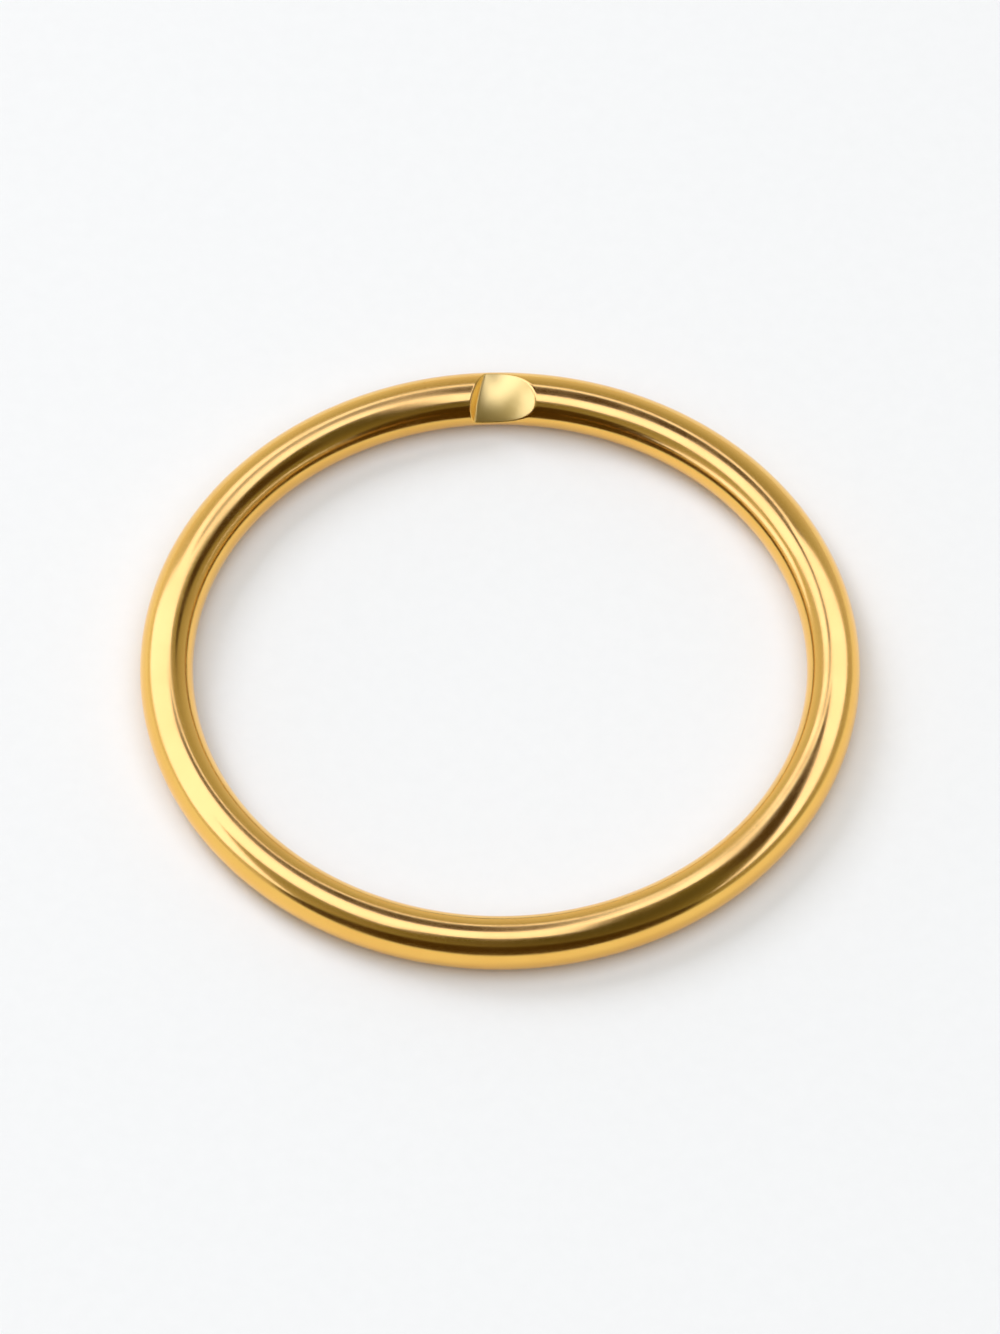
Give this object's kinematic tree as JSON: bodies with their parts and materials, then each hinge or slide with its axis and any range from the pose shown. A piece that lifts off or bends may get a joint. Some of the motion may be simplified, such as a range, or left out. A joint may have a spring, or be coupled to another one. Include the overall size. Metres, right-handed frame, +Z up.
{
  "type": "stackable ring",
  "caption": "Slim stackable ring of round polished gold wire with one small scooped bright cut, lying on its side.",
  "frame": {"origin": "under the middle of the finger hole, on the surface that the ring lies on", "axes": "+Z up along the finger hole's axis, +X to the right as the picture shows it, +Y away from the viewer, to the side with the bright cut"},
  "size_m": [0.0204, 0.0204, 0.0015],
  "materials": {
    "polished_gold": "mirror polished deep yellow gold over brass"
  },
  "bodies": {
    "root": {"band": "polished_gold"}
  },
  "joints": []
}
